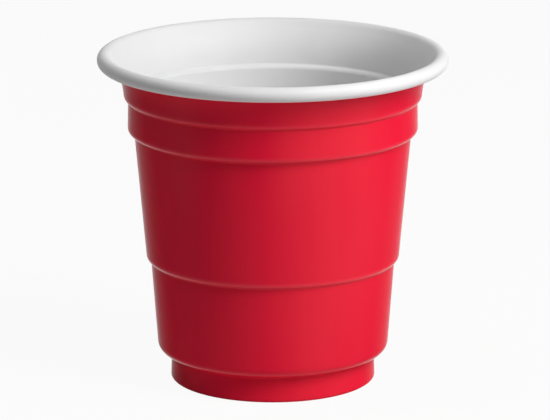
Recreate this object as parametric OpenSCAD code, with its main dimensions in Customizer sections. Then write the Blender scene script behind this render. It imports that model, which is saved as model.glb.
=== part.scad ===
// Small plastic party cup, formed from one sheet, with a rolled rim, three ledges and a foot.
// The sheet's outside line is laid out corner by corner from the middle of the base
// up to the rim, and its inside line follows at the sheet thickness.
// The top is measured down from the rim and the bottom up from the table,
// and the main wall runs between them.
// Millimetres. The origin is under the middle of the foot, +Z goes up.

/* [Sheet] */
// Thickness of the formed sheet
sheet_t = 0.4; // [0.25:0.05:0.5]
// Radius on the tight side of each small bend in the sheet
bend_r = 0.3; // [0.15:0.05:0.4]
// Outside radius of the softer bends along the lower edges of the bands and the main wall
ledge_r = 0.85; // [0.7:0.05:0.95]

/* [Rim] */
// Height from the table to the top of the rolled rim
cup_h = 57.3; // [45:0.1:80]
// Diameter across the rolled rim, the widest part of the cup
rim_d = 60; // [57:0.5:72]
// Outside diameter of the roll along the rim
roll_d = 2.5; // [2.1:0.1:3.1]
// How far the sheet turns in the roll, measured from pointing straight up
roll_turn = 305; // [240:5:320]
// Lean of the sheet away from upright where it meets the roll
flare_lean = 34; // [28:1:40]
// Radius of the soft bend between the top band and the flare
flare_r = 10; // [4:1:12]

/* [Top band] */
// Height from the lower edge of the top band to the top of the rim
top_h = 7.8; // [7.4:0.1:10]
// How far the rim stands out beyond the lower edge of the top band
rim_overhang = 4.55; // [4.2:0.05:4.9]
// Lean of the top band away from upright
top_lean = 6; // [4:1:13]
// Width of the ledge under the top band
top_ledge_w = 0.7; // [0.6:0.02:1.2]
// Height of the ledge under the top band
top_ledge_h = 0.4; // [0.25:0.05:0.6]

/* [Stacking band] */
// Height of the stacking band
stack_h = 5.45; // [3:0.05:9]
// How much the lower edge of the stacking band stands out beyond its upper edge
stack_undercut = 0.1; // [0:0.02:0.2]
// Width of the ledge under the stacking band
stack_ledge_w = 1.12; // [0.8:0.02:1.6]
// Height of the ledge under the stacking band
stack_ledge_h = 0.35; // [0.2:0.05:0.7]

/* [Lower wall] */
// Height of the lower wall, from the shoulder to the middle ledge
lower_h = 15.7; // [8:0.1:24]
// Lean of the lower wall away from upright
lower_lean = 4.3; // [2:0.1:6]
// Width of the middle ledge, between the lower wall and the main wall
middle_ledge_w = 0.74; // [0.72:0.02:1.4]
// Height of the middle ledge
middle_ledge_h = 0.35; // [0.25:0.05:0.7]

/* [Foot] */
// Diameter of the foot at the table, before its edge is rounded
foot_d = 35.3; // [33:0.1:37]
// Height of the foot, up to the shoulder
foot_h = 4.4; // [3:0.05:7]
// How much the foot narrows on each side from the table up to the shoulder
foot_undercut = 0.15; // [0:0.05:0.3]
// Outside radius along the lower edge of the foot
heel_r = 0.55; // [0.5:0.05:1.2]
// Width of the step from the foot out to the lower wall
shoulder_w = 2.3; // [1.8:0.05:3]
// Height of the step from the foot out to the lower wall
shoulder_h = 0.85; // [0.4:0.05:1]
// Outside radius of the rounded shoulder
shoulder_r = 2; // [0.9:0.05:2.2]

/* [Base] */
// Width of the ring that the cup stands on, from its inner edge to the outside of the foot
ring_w = 2.2; // [2.1:0.1:3]
// Height of the underside of the base panel above the table
panel_z = 1.2; // [0.8:0.1:1.6]
// Width of the slope between the standing ring and the base panel
panel_run = 0.8; // [0.6:0.1:1.4]
// Diameter of the shallow step in the middle of the base panel
step_d = 18; // [12:1:24]
// Height of the shallow step in the middle of the base panel
step_rise = 0.4; // [0.2:0.05:0.6]
// Width of the slope around the shallow step
step_run = 0.8; // [0.7:0.1:1.4]

/* [Hidden] */
// Largest angle between two neighbouring points on a bend
arc_step = 12;
// Colour of the outside of the sheet
sheet_colour = [0.76, 0.05, 0.13];
// Bend radius of the outside line where the sheet turns towards the outside
// and where it turns towards the inside
hollow_r = bend_r;
crown_r = bend_r + sheet_t;
// Radius of the roll's outside and inside, and the middle of the roll
roll_out_r = roll_d / 2;
roll_in_r = roll_out_r - sheet_t;
roll_c = [rim_d / 2 - roll_out_r, cup_h - roll_out_r];

// Point at an angle and a distance from a centre
function polar(c, r, a) = c + r * [cos(a), sin(a)];

// Heading of the line from one point to the next
function heading(p, q) = atan2(q[1] - p[1], q[0] - p[0]);

// Where two lines cross, each given by a point and a heading
function crossing(p, a, q, b) =
    let (
        u = [cos(a), sin(a)],
        v = [cos(b), sin(b)],
        d = q - p,
        s = (d[0] * v[1] - d[1] * v[0]) / (u[0] * v[1] - u[1] * v[0])
    )
    p + s * u;

// Sharp corners of the outside line, each as radius and height.
// Base and foot, from the middle outwards
ring_inner = [foot_d / 2 - ring_w, 0];
panel_edge = ring_inner + [-panel_run, panel_z];
step_foot = [step_d / 2, panel_z];
step_edge = step_foot + [-step_run, step_rise];
heel = [foot_d / 2, 0];
foot_top = heel + [-foot_undercut, foot_h];
shoulder = foot_top + [shoulder_w, shoulder_h];
// Lower wall and middle ledge, from the shoulder up
lower_top = shoulder + lower_h * [tan(lower_lean), 1];
main_bottom = lower_top + [middle_ledge_w, middle_ledge_h];
// Top band, stacking band and the two ledges under them, from the rim down
top_bottom = [rim_d / 2 - rim_overhang, cup_h - top_h];
stack_top = top_bottom - [top_ledge_w, top_ledge_h];
stack_bottom = stack_top + [stack_undercut, -stack_h];
main_top = stack_bottom - [stack_ledge_w, stack_ledge_h];
// Flare, from the roll down to the top band
roll_start = polar(roll_c, roll_in_r, 180 - flare_lean);
flare_foot = crossing(top_bottom, 90 - top_lean, roll_start, 90 - flare_lean);

// The corners in order, each with the radius that rounds it
corners = [
    [[0, panel_z + step_rise], 0],
    [step_edge, hollow_r],
    [step_foot, crown_r],
    [panel_edge, hollow_r],
    [ring_inner, crown_r],
    [heel, heel_r],
    [foot_top, hollow_r],
    [shoulder, shoulder_r],
    [lower_top, hollow_r],
    [main_bottom, ledge_r],
    [main_top, hollow_r],
    [stack_bottom, ledge_r],
    [stack_top, hollow_r],
    [top_bottom, ledge_r],
    [flare_foot, flare_r],
    [roll_start, 0]
];

// Points of the rounded corner q between p and n, on the line a depth inside the outside line
function bend_points(p, q, r, n, depth) =
    let (
        a = heading(p, q),
        turn = heading(q, n) - a,
        side = sign(turn),
        start = q - r * tan(abs(turn) / 2) * [cos(a), sin(a)],
        c = start + side * r * [-sin(a), cos(a)],
        count = max(2, ceil(abs(turn) / arc_step))
    )
    [for (i = [0:count]) polar(c, r - side * depth, a - side * 90 + turn * i / count)];

// The line from the middle of the base to the roll, a depth inside the outside line
function wall_line(depth) = concat(
    [corners[0][0] + [0, depth]],
    [
        for (i = [1:len(corners) - 2])
            each bend_points(
                corners[i - 1][0], corners[i][0], corners[i][1], corners[i + 1][0], depth
            )
    ]
);

// The roll, clockwise from the end of the flare, at a radius about its middle
function roll_line(r) =
    let (
        first = 180 - flare_lean,
        sweep = roll_turn - flare_lean,
        count = ceil(sweep / arc_step)
    )
    [for (i = [0:count]) polar(roll_c, r, first - sweep * i / count)];

// The rounded free edge of the sheet at the end of the roll
function free_edge() =
    let (
        a = 180 - roll_turn,
        c = polar(roll_c, roll_in_r + sheet_t / 2, a)
    )
    [for (b = [150:-30:30]) polar(c, sheet_t / 2, a + b - 180)];

// A line's points in the opposite order
function backwards(line) = [for (i = [len(line) - 1:-1:0]) line[i]];

// Section of the whole cup, from the axis to the rolled rim
module sheet_section() {
    polygon(concat(
        wall_line(0),
        roll_line(roll_in_r),
        free_edge(),
        backwards(roll_line(roll_out_r)),
        backwards(wall_line(sheet_t))
    ));
}

// The cup, its section turned about the axis
module cup() {
    color(sheet_colour)
        rotate_extrude($fn = 144)
            sheet_section();
}

// Parts of the cup
// Part to show

cup();
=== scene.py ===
"""Small party cup, formed from one two-tone plastic sheet: red outside, white inside.

The sheet's outside line is drawn as one wire from the middle of the base to the end of
the rolled rim, with straight runs and round bends. The wire is spun about the cup's axis,
and a wall thickness is then given to the skin. Metres, in the frame of the CAD model.
"""
import math

import bmesh
import bpy
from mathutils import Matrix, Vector


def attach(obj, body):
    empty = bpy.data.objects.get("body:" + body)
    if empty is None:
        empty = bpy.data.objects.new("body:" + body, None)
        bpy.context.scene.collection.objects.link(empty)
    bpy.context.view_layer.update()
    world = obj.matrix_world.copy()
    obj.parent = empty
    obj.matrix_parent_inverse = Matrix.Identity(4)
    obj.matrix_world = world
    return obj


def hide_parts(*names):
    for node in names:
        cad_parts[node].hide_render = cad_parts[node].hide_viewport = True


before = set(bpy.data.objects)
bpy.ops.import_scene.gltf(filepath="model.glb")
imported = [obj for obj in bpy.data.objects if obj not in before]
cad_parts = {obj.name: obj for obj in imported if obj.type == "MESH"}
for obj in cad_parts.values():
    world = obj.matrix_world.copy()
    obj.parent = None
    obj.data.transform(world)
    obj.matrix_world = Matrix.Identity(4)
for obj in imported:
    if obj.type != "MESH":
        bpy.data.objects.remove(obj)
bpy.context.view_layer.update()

MM = 0.001

# Sheet: its thickness, and the outside line's radii at bends towards the outside,
# towards the inside and along the lower edges of the bands
SHEET_T = 0.4 * MM
HOLLOW_R = 0.3 * MM
CROWN_R = HOLLOW_R + SHEET_T
LEDGE_R = 0.85 * MM

# Rim and flare
CUP_H = 57.3 * MM
RIM_R = 30.0 * MM
ROLL_OUT_R = 1.25 * MM
ROLL_IN_R = ROLL_OUT_R - SHEET_T
ROLL_TURN = math.radians(305)
FLARE_LEAN = math.radians(34)
FLARE_R = 10.0 * MM
FREE_EDGE_TRIM = 0.15 * MM

# Top band and stacking band
TOP_H = 7.8 * MM
RIM_OVERHANG = 4.55 * MM
TOP_LEAN = math.radians(6)
TOP_LEDGE = Vector((0.7 * MM, 0.4 * MM))
STACK_H = 5.45 * MM
STACK_UNDERCUT = 0.1 * MM
STACK_LEDGE = Vector((1.12 * MM, 0.35 * MM))

# Lower wall, middle ledge, shoulder and foot
LOWER_H = 15.7 * MM
LOWER_LEAN = math.radians(4.3)
MIDDLE_LEDGE = Vector((0.74 * MM, 0.35 * MM))
FOOT_R = 17.65 * MM
FOOT_H = 4.4 * MM
FOOT_UNDERCUT = 0.15 * MM
HEEL_R = 0.55 * MM
SHOULDER = Vector((2.3 * MM, 0.85 * MM))
SHOULDER_R = 2.0 * MM

# Base
RING_W = 2.2 * MM
PANEL_Z = 1.2 * MM
PANEL_RUN = 0.8 * MM
STEP_R = 9.0 * MM
STEP_RISE = 0.4 * MM
STEP_RUN = 0.8 * MM

# How finely the skin is divided: steps of the full turn, the largest step of a bend,
# how near to a bend a straight run has a vertex, and from what length a run is quartered
TURN_STEPS = 192
BEND_STEP = math.radians(9)
HOLD = 0.07 * MM
LONG_RUN = 4 * MM

# Where light is painted into the colour along a bend, a painted highlight in paler red outside and
# painted shade in darker white inside: its middle above the corner, its half height
PAINTED_BEND_LIGHT_RISE = 0.05 * MM
PAINTED_BEND_LIGHT_HALF_H = 0.85 * MM

# Sizes of the finish's patterns, as noise scales, with the shapes and the place of some
STREAK_SCALE = 60.0
STREAK_STRETCH = (1.0, 1.0, 0.18)
# The streaks are random tone, but their place is set so that a pale streak on the red face is also
# a painted reflection of the key softbox
STREAK_SEED = 11.9
CLOUD_SCALE = 260.0
WAVE_SCALE = 150.0
WAVE_STRETCH = (1.0, 1.0, 0.45)
SKIN_SCALE = 1400.0
SKIN_SHARE = 0.12
RIPPLE_DEPTH = 0.05 * MM

# Camera: how far from the cup and how high above it, the focal length in pixels,
# the height it is set from, and how far that point is from the middle of the picture
PICTURE_WIDTH = 550
CAMERA_DISTANCE = 760 * MM
CAMERA_RISE = math.radians(14.12)
FOCAL = 4416.2
TARGET_Z = 28.2 * MM
LEFT_OF_MIDDLE = 2.2
BELOW_MIDDLE = 6.86

# Studio: the height the lamps look at, half the floor's width, the floor's paint,
# and how much of what the camera sees of the floor is plain white
LAMP_TARGET_Z = 30 * MM
FLOOR_HALF = 3.0
FLOOR_PAINT = (0.6, 0.6, 0.6)
FLOOR_WHITE_SHARE = 0.94
# Softboxes: name, degrees to the right of the camera, degrees up, distance, width,
# height and power
SOFTBOXES = [
    ("key softbox", 57, 35, 0.45, 0.20, 0.28, 1.71),
    ("high front softbox", 35, 52, 0.45, 0.16, 0.16, 0.35),
    ("side strip", 78, 25, 0.45, 0.20, 0.45, 0.08),
    ("overhead softbox", -90, 62, 0.50, 0.45, 0.45, 0.67),
]


# The sheet

def heading(a, b):
    """Angle of the line from a to b, in the section's plane."""
    return math.atan2(b.y - a.y, b.x - a.x)


def along(angle):
    """Unit step at an angle, in the section's plane."""
    return Vector((math.cos(angle), math.sin(angle)))


def crossing(p, a, q, b):
    """Where the line through p at angle a meets the line through q at angle b."""
    u, v, d = along(a), along(b), q - p
    return p + u * ((d.x * v.y - d.y * v.x) / (u.x * v.y - u.y * v.x))


def place(point):
    """A point of the section, radius and height, as a point in space."""
    return Vector((point.x, 0.0, point.y))


def draw_run(bm, end, point):
    """Carry the wire's end straight on to a point, with a vertex held near each bend."""
    start = Vector((end.co.x, end.co.z))
    length = (point - start).length
    stops = [1.0]
    if length > 6 * HOLD:
        stops = [HOLD / length, 1 - HOLD / length, 1.0]
    if length > LONG_RUN:
        stops = [stops[0], 0.25, 0.5, 0.75] + stops[1:]
    for stop in stops:
        new = bmesh.ops.extrude_vert_indiv(bm, verts=[end])["verts"][0]
        new.co = place(start.lerp(point, stop))
        end = new
    return end


def draw_bend(bm, end, centre, turn):
    """Turn the wire's end about a centre; a positive turn is anticlockwise."""
    steps = max(4, math.ceil(abs(turn) / BEND_STEP))
    made = bmesh.ops.spin(
        bm, geom=[end], cent=place(centre), axis=(0, -1, 0), angle=turn,
        steps=steps, use_duplicate=False)
    return next(item for item in made["geom_last"] if isinstance(item, bmesh.types.BMVert))


def sheet_corners():
    """Sharp corners of the outside line with their bends' radii, the roll's start and centre."""
    ring_inner = Vector((FOOT_R - RING_W, 0.0))
    panel_edge = ring_inner + Vector((-PANEL_RUN, PANEL_Z))
    step_foot = Vector((STEP_R, PANEL_Z))
    step_edge = step_foot + Vector((-STEP_RUN, STEP_RISE))
    heel = Vector((FOOT_R, 0.0))
    foot_top = heel + Vector((-FOOT_UNDERCUT, FOOT_H))
    shoulder = foot_top + SHOULDER
    lower_top = shoulder + LOWER_H * Vector((math.tan(LOWER_LEAN), 1.0))
    main_bottom = lower_top + MIDDLE_LEDGE
    top_bottom = Vector((RIM_R - RIM_OVERHANG, CUP_H - TOP_H))
    stack_top = top_bottom - TOP_LEDGE
    stack_bottom = stack_top + Vector((STACK_UNDERCUT, -STACK_H))
    main_top = stack_bottom - STACK_LEDGE
    roll_centre = Vector((RIM_R - ROLL_OUT_R, CUP_H - ROLL_OUT_R))
    roll_start = roll_centre + ROLL_IN_R * along(math.pi - FLARE_LEAN)
    flare_foot = crossing(
        top_bottom, math.pi / 2 - TOP_LEAN, roll_start, math.pi / 2 - FLARE_LEAN)
    bends = [
        (step_edge, HOLLOW_R), (step_foot, CROWN_R), (panel_edge, HOLLOW_R),
        (ring_inner, CROWN_R), (heel, HEEL_R), (foot_top, HOLLOW_R),
        (shoulder, SHOULDER_R), (lower_top, HOLLOW_R), (main_bottom, LEDGE_R),
        (main_top, HOLLOW_R), (stack_bottom, LEDGE_R), (stack_top, HOLLOW_R),
        (top_bottom, LEDGE_R), (flare_foot, FLARE_R)]
    return bends, roll_start, roll_centre


def painted_bend_light_heights():
    """Middle heights of the bends where light is painted into the colour, each with how strong the
    painted light is.
    """
    shoulder = FOOT_H + SHOULDER.y
    main_bottom = shoulder + LOWER_H + MIDDLE_LEDGE.y
    top_bottom = CUP_H - TOP_H
    stack_bottom = top_bottom - TOP_LEDGE.y - STACK_H
    return [
        (shoulder + PAINTED_BEND_LIGHT_RISE, 0.6), (main_bottom + PAINTED_BEND_LIGHT_RISE, 1.0),
        (stack_bottom + PAINTED_BEND_LIGHT_RISE, 0.85), (top_bottom + PAINTED_BEND_LIGHT_RISE, 0.65)]


def draw_sheet(bm):
    """Draw the sheet's outside line as one wire, from the axis to the end of the roll."""
    bends, roll_start, roll_centre = sheet_corners()
    before = Vector((0.0, PANEL_Z + STEP_RISE))
    end = bm.verts.new(place(before))
    for i, (corner, radius) in enumerate(bends):
        after = bends[i + 1][0] if i + 1 < len(bends) else roll_start
        a = heading(before, corner)
        turn = heading(corner, after) - a
        side = math.copysign(1.0, turn)
        start = corner - along(a) * radius * math.tan(abs(turn) / 2)
        centre = start + side * radius * along(a + math.pi / 2)
        end = draw_run(bm, end, start)
        end = draw_bend(bm, end, centre, turn)
        before = corner
    end = draw_run(bm, end, roll_start)
    draw_bend(bm, end, roll_centre, -(ROLL_TURN - FLARE_LEAN))


def make_cup(outside, inside):
    """Spin the wire into the cup's skin, then give the skin its thickness."""
    bm = bmesh.new()
    draw_sheet(bm)
    bmesh.ops.spin(
        bm, geom=bm.verts[:] + bm.edges[:], cent=(0, 0, 0), axis=(0, 0, 1),
        angle=2 * math.pi, steps=TURN_STEPS, use_merge=True, use_duplicate=False)
    bmesh.ops.remove_doubles(bm, verts=bm.verts[:], dist=1e-7)
    bmesh.ops.recalc_face_normals(bm, faces=bm.faces[:])
    base = min(bm.faces, key=lambda f: f.calc_center_median().to_2d().length)
    if base.normal.z > 0:
        bmesh.ops.reverse_faces(bm, faces=bm.faces[:])
    for face in bm.faces:
        face.smooth = True
    mesh = bpy.data.meshes.new("party_cup")
    bm.to_mesh(mesh)
    bm.free()
    mesh.materials.append(outside)
    mesh.materials.append(inside)
    cup = bpy.data.objects.new("party_cup", mesh)
    bpy.context.scene.collection.objects.link(cup)

    wall = cup.modifiers.new("sheet thickness", "SOLIDIFY")
    wall.thickness = SHEET_T
    wall.offset = -1.0
    wall.use_even_offset = True
    wall.material_offset = 1
    wall.material_offset_rim = 1
    edge = cup.modifiers.new("trimmed free edge", "BEVEL")
    edge.width = FREE_EDGE_TRIM
    edge.segments = 3
    edge.limit_method = "ANGLE"
    edge.angle_limit = math.radians(60)
    return cup


# Finishes

def new_material(name):
    """A new material, with its node tree and the shader that ends it."""
    mat = bpy.data.materials.new(name)
    mat.use_nodes = True
    tree = mat.node_tree
    shader = tree.nodes["Principled BSDF"]
    return mat, tree, shader


def add(tree, kind, **values):
    """A node of a kind, with its settings and its input values."""
    node = tree.nodes.new(kind)
    for key, value in values.items():
        if hasattr(node, key):
            setattr(node, key, value)
        else:
            node.inputs[key.replace("_", " ")].default_value = value
    return node


def noise(tree, where, scale, detail, stretch=(1, 1, 1), seed=0.0):
    """A noise pattern on the piece's own coordinates, stretched along its axes."""
    mapping = add(tree, "ShaderNodeMapping", Scale=stretch)
    tree.links.new(where.outputs["Object"], mapping.inputs["Vector"])
    node = add(
        tree, "ShaderNodeTexNoise", noise_dimensions="4D", W=seed, Scale=scale, Detail=detail)
    tree.links.new(mapping.outputs["Vector"], node.inputs["Vector"])
    return node.outputs["Fac"]


def spread(tree, pattern, low, high):
    """Stretch a pattern's middle values over a range."""
    node = add(
        tree, "ShaderNodeMapRange", From_Min=0.35, From_Max=0.65, To_Min=low, To_Max=high)
    tree.links.new(pattern, node.inputs["Value"])
    return node.outputs["Result"]


def blend(tree, share, first, second):
    """A mix of two colours by a share; the first is a colour or a socket."""
    node = add(tree, "ShaderNodeMix", data_type="RGBA")
    tree.links.new(share, node.inputs["Factor"])
    if isinstance(first, bpy.types.NodeSocket):
        tree.links.new(first, node.inputs[6])
    else:
        node.inputs[6].default_value = (*first, 1)
    node.inputs[7].default_value = (*second, 1)
    return node.outputs[2]


def painted_bend_light_share(tree, where):
    """How much light is painted into the colour at each height up the cup, along the bends: nought
    away from them.
    """
    axes = add(tree, "ShaderNodeSeparateXYZ")
    tree.links.new(where.outputs["Object"], axes.inputs["Vector"])
    level = add(tree, "ShaderNodeMath", operation="DIVIDE")
    level.inputs[1].default_value = CUP_H
    tree.links.new(axes.outputs["Z"], level.inputs[0])
    ramp = add(tree, "ShaderNodeValToRGB")
    tree.links.new(level.outputs["Value"], ramp.inputs["Fac"])
    ramp.color_ramp.interpolation = "EASE"
    stops = ramp.color_ramp.elements
    stops[1].color = (0, 0, 0, 1)
    for height, most in painted_bend_light_heights():
        for offset, value in ((-PAINTED_BEND_LIGHT_HALF_H, 0), (0, most), (PAINTED_BEND_LIGHT_HALF_H, 0)):
            stops.new((height + offset) / CUP_H).color = (value, value, value, 1)
    return ramp.outputs["Color"]


def fade_gloss(tree, shader):
    """Full gloss where the face is seen square on, little where it is seen edge on."""
    weight = add(tree, "ShaderNodeLayerWeight", Blend=0.5)
    level = add(
        tree, "ShaderNodeMapRange", interpolation_type="SMOOTHSTEP",
        From_Min=0.15, From_Max=0.55, To_Min=0.5, To_Max=0.05)
    tree.links.new(weight.outputs["Facing"], level.inputs["Value"])
    tree.links.new(level.outputs["Result"], shader.inputs["Specular IOR Level"])


def sheet_face(name, colour, deeper, painted_bend_light_colour, roughness, ior, tint, ripple):
    """One face of the formed plastic: its material, its shader's tree and the bends' share.

    The colour mixes two tones in soft streaks of random tone, placed so that a pale streak on the
    red face is also a painted reflection. Along the bends it carries painted light: a highlight on
    the red face and shade on the white face. The gloss is uneven, and there is a fine ripple.
    """
    mat, tree, shader = new_material(name)
    where = add(tree, "ShaderNodeTexCoord")

    # Streaks of random tone; on the red face a pale one is placed to serve as a painted reflection
    # too
    streaks = noise(tree, where, STREAK_SCALE, 2.2, STREAK_STRETCH, STREAK_SEED)
    tone = blend(tree, spread(tree, streaks, 0.0, 1.0), colour, deeper)
    # Colour along the bends is painted light: a painted highlight on the red face, painted shade
    # on the white face
    bends = painted_bend_light_share(tree, where)
    tree.links.new(blend(tree, bends, tone, painted_bend_light_colour), shader.inputs["Base Color"])

    cloud = noise(tree, where, CLOUD_SCALE, 4.0)
    tree.links.new(spread(tree, cloud, *roughness), shader.inputs["Roughness"])
    shader.inputs["IOR"].default_value = ior
    shader.inputs["Specular Tint"].default_value = (*tint, 1)

    waves = noise(tree, where, WAVE_SCALE, 2.0, WAVE_STRETCH)
    skin = noise(tree, where, SKIN_SCALE, 3.0)
    both = add(tree, "ShaderNodeMath", operation="MULTIPLY_ADD")
    both.inputs[1].default_value = SKIN_SHARE
    tree.links.new(skin, both.inputs[0])
    tree.links.new(waves, both.inputs[2])
    bump = add(tree, "ShaderNodeBump", Strength=ripple, Distance=RIPPLE_DEPTH)
    tree.links.new(both.outputs["Value"], bump.inputs["Height"])
    tree.links.new(bump.outputs["Normal"], shader.inputs["Normal"])
    return mat, tree, shader, bends


def gloss_red():
    """The outside face: red, with a gloss that fades edge on, a clear gloss on the bends and a
    painted highlight in paler red along them.
    """
    # The paler red along the bends is a painted highlight; the pale streaks are partly a painted
    # reflection
    mat, tree, shader, bends = sheet_face(
        "gloss red sheet face", colour=(0.82, 0.023, 0.046), deeper=(0.80, 0.002, 0.034),
        painted_bend_light_colour=(0.88, 0.034, 0.060), roughness=(0.15, 0.22), ior=1.2,
        tint=(1.0, 0.35, 0.6), ripple=0.15)
    fade_gloss(tree, shader)
    tree.links.new(bends, shader.inputs["Coat Weight"])
    shader.inputs["Coat IOR"].default_value = 1.22
    shader.inputs["Coat Roughness"].default_value = 0.15
    return mat


def soft_white():
    """The inside face: white, less glossy than the outside, with painted shade in darker white
    along the bends.
    """
    # The darker white along the bends is painted shade that dims the inside ledges
    return sheet_face(
        "white sheet face", colour=(0.80, 0.80, 0.80), deeper=(0.77, 0.77, 0.77),
        painted_bend_light_colour=(0.66, 0.66, 0.66), roughness=(0.52, 0.62), ior=1.4,
        tint=(1.0, 1.0, 1.0), ripple=0.2)[0]


# Studio

def seen_white(tree):
    """One where the camera looks, straight or by way of gloss or glass, nought for other light."""
    path = add(tree, "ShaderNodeLightPath")
    seen = path.outputs["Is Camera Ray"]
    for ray in ("Is Glossy Ray", "Is Transmission Ray"):
        either = add(tree, "ShaderNodeMath", operation="MAXIMUM")
        tree.links.new(seen, either.inputs[0])
        tree.links.new(path.outputs[ray], either.inputs[1])
        seen = either.outputs["Value"]
    return seen


def make_floor():
    """A pale floor that the camera sees as near white, and that keeps some of the cup's shadow."""
    bm = bmesh.new()
    bmesh.ops.create_grid(bm, x_segments=8, y_segments=8, size=FLOOR_HALF)
    mesh = bpy.data.meshes.new("studio_floor")
    bm.to_mesh(mesh)
    bm.free()
    floor = bpy.data.objects.new("studio_floor", mesh)
    bpy.context.scene.collection.objects.link(floor)

    mat, tree, shader = new_material("pale floor")
    shader.inputs["Base Color"].default_value = (*FLOOR_PAINT, 1)
    shader.inputs["Roughness"].default_value = 0.9
    glow = add(tree, "ShaderNodeEmission", Strength=1.0)
    share = add(tree, "ShaderNodeMath", operation="MULTIPLY")
    share.inputs[1].default_value = FLOOR_WHITE_SHARE
    tree.links.new(seen_white(tree), share.inputs[0])
    mix = add(tree, "ShaderNodeMixShader")
    tree.links.new(share.outputs["Value"], mix.inputs["Fac"])
    tree.links.new(shader.outputs["BSDF"], mix.inputs[1])
    tree.links.new(glow.outputs["Emission"], mix.inputs[2])
    tree.links.new(mix.outputs["Shader"], tree.nodes["Material Output"].inputs["Surface"])
    mesh.materials.append(mat)


def make_world():
    """A surround that the camera and reflections see as white, and that lights nothing else."""
    world = bpy.data.worlds.new("studio")
    bpy.context.scene.world = world
    world.use_nodes = True
    tree = world.node_tree
    around = tree.nodes["Background"]
    around.inputs["Color"].default_value = (1, 1, 1, 1)
    tree.links.new(seen_white(tree), around.inputs["Strength"])


def aim(obj, spot, target):
    """Set an object at a spot, looking at a target."""
    obj.location = spot
    obj.rotation_euler = (target - spot).to_track_quat("-Z", "Y").to_euler()


def around_cup(azimuth, rise, distance):
    """A step from the cup: degrees to the right of the camera, degrees up, metres away."""
    a, e = math.radians(azimuth), math.radians(rise)
    return Vector((
        math.sin(a) * math.cos(e), -math.cos(a) * math.cos(e), math.sin(e))) * distance


def make_softbox(name, azimuth, rise, distance, width, height, power):
    """A soft rectangular lamp that looks at the cup."""
    lamp = bpy.data.lights.new(name, "AREA")
    lamp.shape = "RECTANGLE"
    lamp.size = width
    lamp.size_y = height
    lamp.energy = power
    obj = bpy.data.objects.new(name, lamp)
    bpy.context.scene.collection.objects.link(obj)
    target = Vector((0, 0, LAMP_TARGET_Z))
    aim(obj, target + around_cup(azimuth, rise, distance), target)


def make_camera():
    """A long lens about fourteen degrees above the cup, framed as the photograph is."""
    target = Vector((0, 0, TARGET_Z))
    back = Vector((0, -math.cos(CAMERA_RISE), math.sin(CAMERA_RISE)))
    up = Vector((0, math.sin(CAMERA_RISE), math.cos(CAMERA_RISE)))
    pixel = CAMERA_DISTANCE / FOCAL
    look = target + Vector((1, 0, 0)) * (LEFT_OF_MIDDLE * pixel) + up * (BELOW_MIDDLE * pixel)
    data = bpy.data.cameras.new("camera")
    data.sensor_width = 36.0
    data.lens = data.sensor_width * FOCAL / PICTURE_WIDTH
    data.clip_start = 0.01
    data.clip_end = 20
    camera = bpy.data.objects.new("camera", data)
    bpy.context.scene.collection.objects.link(camera)
    aim(camera, target + back * CAMERA_DISTANCE, look)
    bpy.context.scene.camera = camera


def make_studio():
    """The floor, the surround, the lamps and the camera."""
    make_floor()
    make_world()
    for box in SOFTBOXES:
        make_softbox(*box)
    make_camera()
    bpy.context.scene.view_settings.view_transform = "Standard"


cup = make_cup(gloss_red(), soft_white())
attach(cup, "root")
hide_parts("cup")

make_studio()

bpy.context.view_layer.update()
